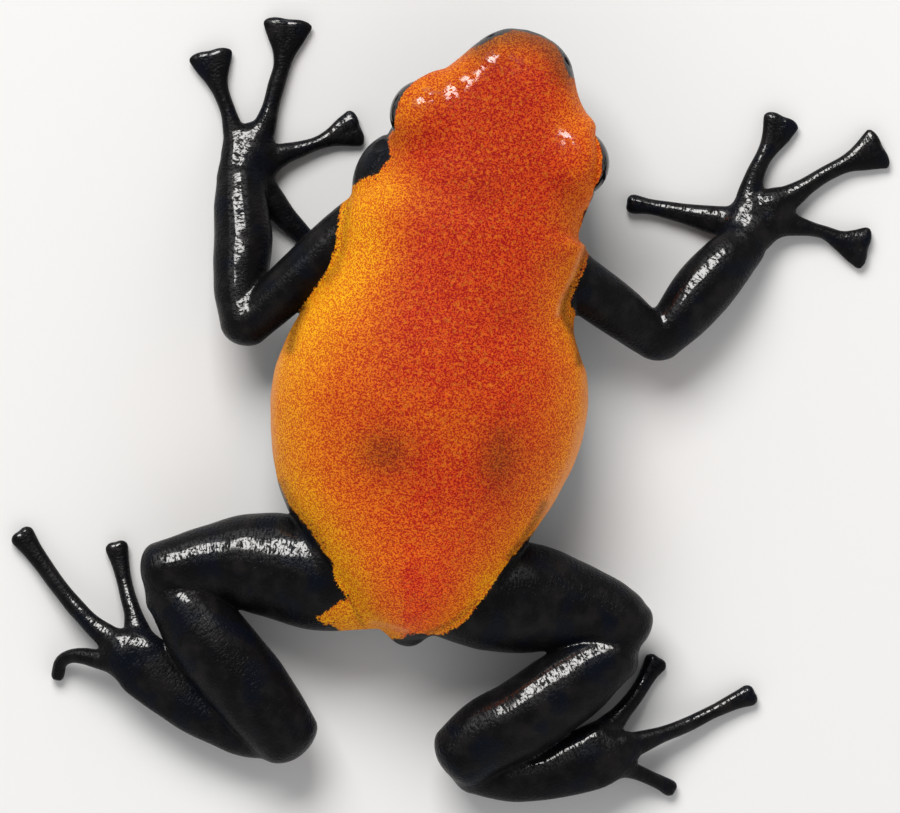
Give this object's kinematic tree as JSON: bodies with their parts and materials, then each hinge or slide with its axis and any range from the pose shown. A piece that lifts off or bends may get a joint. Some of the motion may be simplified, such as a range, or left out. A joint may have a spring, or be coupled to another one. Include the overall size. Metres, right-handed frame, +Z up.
{
  "type": "splash-backed poison frog",
  "caption": "Life-size still model of a splash-backed poison frog lying spread on its belly, with a mottled orange back and black limbs.",
  "frame": {"origin": "on the floor, at the middle of the belly", "axes": "the snout points along -Y, the animal's right side is -X, and +Z is up, away from the floor"},
  "size_m": [0.0489, 0.0468, 0.0123],
  "materials": {
    "orange_skin": "moist, finely mottled orange skin of the back and head",
    "black_skin": "moist, leathery black skin of the limbs",
    "eye": "glossy black eye"
  },
  "bodies": {
    "root": {"head": "orange_skin", "torso": "orange_skin", "eye_left": "eye", "upper_arm_left": "black_skin", "forearm_left": "black_skin", "hand_left": "black_skin", "finger_1_left": "black_skin", "finger_2_left": "black_skin", "finger_3_left": "black_skin", "finger_4_left": "black_skin", "thigh_left": "black_skin", "shank_left": "black_skin", "foot_left": "black_skin", "toe_1_left": "black_skin", "toe_2_left": "black_skin", "toe_3_left": "black_skin", "toe_4_left": "black_skin", "toe_5_left": "black_skin", "eye_right": "eye", "upper_arm_right": "black_skin", "forearm_right": "black_skin", "hand_right": "black_skin", "finger_1_right": "black_skin", "finger_2_right": "black_skin", "finger_3_right": "black_skin", "finger_4_right": "black_skin", "thigh_right": "black_skin", "shank_right": "black_skin", "foot_right": "black_skin", "toe_1_right": "black_skin", "toe_2_right": "black_skin", "toe_3_right": "black_skin", "toe_4_right": "black_skin", "toe_5_right": "black_skin"}
  },
  "joints": []
}
